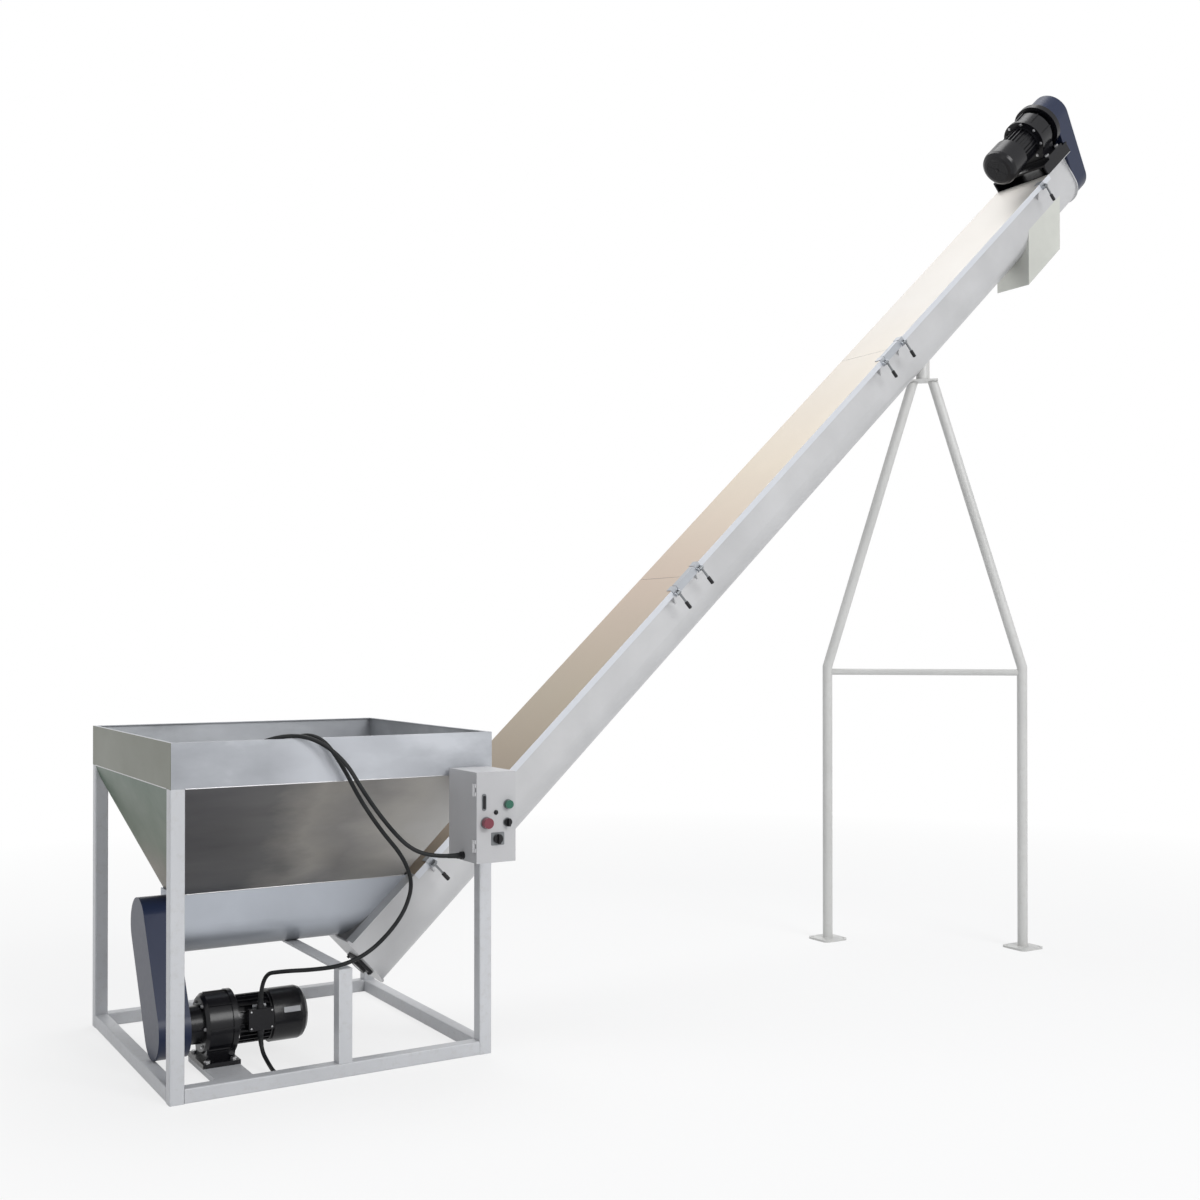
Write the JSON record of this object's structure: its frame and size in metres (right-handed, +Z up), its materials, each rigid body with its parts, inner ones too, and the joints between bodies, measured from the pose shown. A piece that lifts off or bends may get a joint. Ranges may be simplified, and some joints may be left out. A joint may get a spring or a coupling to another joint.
{
  "type": "screw loader",
  "caption": "Square floor hopper on a tube frame with a short level screw feeding a long inclined trough screw that drops through a spout near the head drive.",
  "frame": {"origin": "on the floor under the middle of the square hopper frame, where the four threaded post feet are centred", "axes": "+X along the machine from the hopper to the head, +Y to the rear away from the control box, +Z up"},
  "size_m": [5.1291, 1.4525, 4.464],
  "materials": {
    "frame_paint": "satin off-white paint",
    "stainless": "brushed stainless sheet",
    "bearing_iron": "plain",
    "guard_paint": "gloss navy paint",
    "motor_paint": "gloss black paint",
    "bright_steel": "plain",
    "box_paint": "light grey powder coat",
    "red_plastic": "gloss",
    "green_plastic": "gloss",
    "black_plastic": "satin",
    "lead_rubber": "matt"
  },
  "bodies": {
    "base": {"box_rails": "frame_paint", "cable_glands": "black_plastic", "chains": "bright_steel", "control_box": "box_paint", "control_lead": "lead_rubber", "drive_seat": "stainless", "earth_lead": "lead_rubber", "feed_end_plate": "stainless", "feed_trough": "stainless", "flange_bearings": "bearing_iron", "floor_plate": "frame_paint", "floor_rails": "frame_paint", "foot_bolts": "bright_steel", "guard_backs": "guard_paint", "head_plate": "stainless", "hopper_front": "stainless", "hopper_left": "stainless", "hopper_rear": "stainless", "hopper_right": "stainless", "incline_foot_plate": "stainless", "incline_trough": "stainless", "lid_fittings": "stainless", "lid_lower": "stainless", "lid_middle": "stainless", "lid_upper": "stainless", "lower_guard_cover": "guard_paint", "lower_motor": "motor_paint", "lower_reducer": "motor_paint", "mid_post": "frame_paint", "post_front_left": "frame_paint", "post_front_right": "frame_paint", "post_rear_left": "frame_paint", "post_rear_right": "frame_paint", "rim_band": "stainless", "spout": "stainless", "stand_brace": "frame_paint", "stand_foot_plates": "frame_paint", "stand_leg_left": "frame_paint", "stand_leg_right": "frame_paint", "stand_socket": "frame_paint", "upper_guard_cover": "guard_paint", "upper_motor": "motor_paint", "upper_reducer": "motor_paint"},
    "feed_screw": {"feed_screw": "stainless", "lower_sprocket": "bright_steel"},
    "lower_pinion": {"lower_pinion": "bright_steel"},
    "incline_screw": {"incline_screw": "stainless", "upper_sprocket": "bright_steel"},
    "upper_pinion": {"upper_pinion": "bright_steel"},
    "door": {"box_door": "box_paint"},
    "stop_button": {"stop_button": "red_plastic"},
    "start_button": {"start_button": "green_plastic"},
    "selector_knob": {"selector_knob": "black_plastic"},
    "power_switch": {"power_switch": "black_plastic"},
    "latch_1": {"latch_lever_1": "bright_steel"},
    "latch_2": {"latch_lever_2": "bright_steel"},
    "latch_3": {"latch_lever_3": "bright_steel"},
    "latch_4": {"latch_lever_4": "bright_steel"},
    "latch_5": {"latch_lever_5": "bright_steel"},
    "latch_6": {"latch_lever_6": "bright_steel"}
  },
  "joints": [
    {"name": "feed_screw_turn", "type": "hinge", "parent": "base", "child": "feed_screw", "pos_m": [-0.445, 0, 0.492], "axis": [1, 0, 0], "continuous": true},
    {"name": "lower_drive_turn", "type": "hinge", "parent": "base", "child": "lower_pinion", "pos_m": [-0.445, -0.205, 0.156], "axis": [1, 0, 0], "continuous": true},
    {"name": "incline_screw_turn", "type": "hinge", "parent": "base", "child": "incline_screw", "pos_m": [4.3791, 0, 4.05286], "axis": [0.7311, 0, 0.6823], "continuous": true},
    {"name": "upper_drive_turn", "type": "hinge", "parent": "base", "child": "upper_pinion", "pos_m": [4.13963, -0.081, 4.30949], "axis": [0.7311, 0, 0.6823], "continuous": true},
    {"name": "latch_1_swing", "type": "hinge", "parent": "base", "child": "latch_1", "pos_m": [0.54154, -0.196, 0.65779], "axis": [-0.7311, 0, -0.6823], "range_deg": [0, 110]},
    {"name": "latch_2_swing", "type": "hinge", "parent": "base", "child": "latch_2", "pos_m": [1.71425, -0.196, 1.75213], "axis": [-0.7311, 0, -0.6823], "range_deg": [0, 110]},
    {"name": "latch_3_swing", "type": "hinge", "parent": "base", "child": "latch_3", "pos_m": [1.83415, -0.196, 1.86402], "axis": [-0.7311, 0, -0.6823], "range_deg": [0, 110]},
    {"name": "latch_4_swing", "type": "hinge", "parent": "base", "child": "latch_4", "pos_m": [2.93521, -0.196, 2.89149], "axis": [-0.7311, 0, -0.6823], "range_deg": [0, 110]},
    {"name": "latch_5_swing", "type": "hinge", "parent": "base", "child": "latch_5", "pos_m": [3.05512, -0.196, 3.00338], "axis": [-0.7311, 0, -0.6823], "range_deg": [0, 110]},
    {"name": "latch_6_swing", "type": "hinge", "parent": "base", "child": "latch_6", "pos_m": [4.05382, -0.196, 3.93534], "axis": [-0.7311, 0, -0.6823], "range_deg": [0, 110]},
    {"name": "door_swing", "type": "hinge", "parent": "base", "child": "door", "pos_m": [0.404, -0.823, 0.913], "axis": [0, 0, -1], "range_deg": [0, 110]},
    {"name": "stop_push", "type": "slide", "parent": "door", "child": "stop_button", "axis": [0, 1, 0], "range_m": [0, 0.004], "stiffness_N_per_m": 800},
    {"name": "start_push", "type": "slide", "parent": "door", "child": "start_button", "axis": [0, 1, 0], "range_m": [0, 0.004], "stiffness_N_per_m": 800},
    {"name": "selector_turn", "type": "hinge", "parent": "door", "child": "selector_knob", "pos_m": [0.531, -0.83, 0.893], "axis": [0, 1, 0], "range_deg": [-45, 45]},
    {"name": "power_turn", "type": "hinge", "parent": "door", "child": "power_switch", "pos_m": [0.493, -0.83, 0.836], "axis": [0, 1, 0], "range_deg": [0, 90]}
  ],
  "couplings": [
    {"joint": "lower_drive_turn", "follows": "feed_screw_turn", "ratio": 1.5},
    {"joint": "upper_drive_turn", "follows": "incline_screw_turn", "ratio": 1.5}
  ]
}
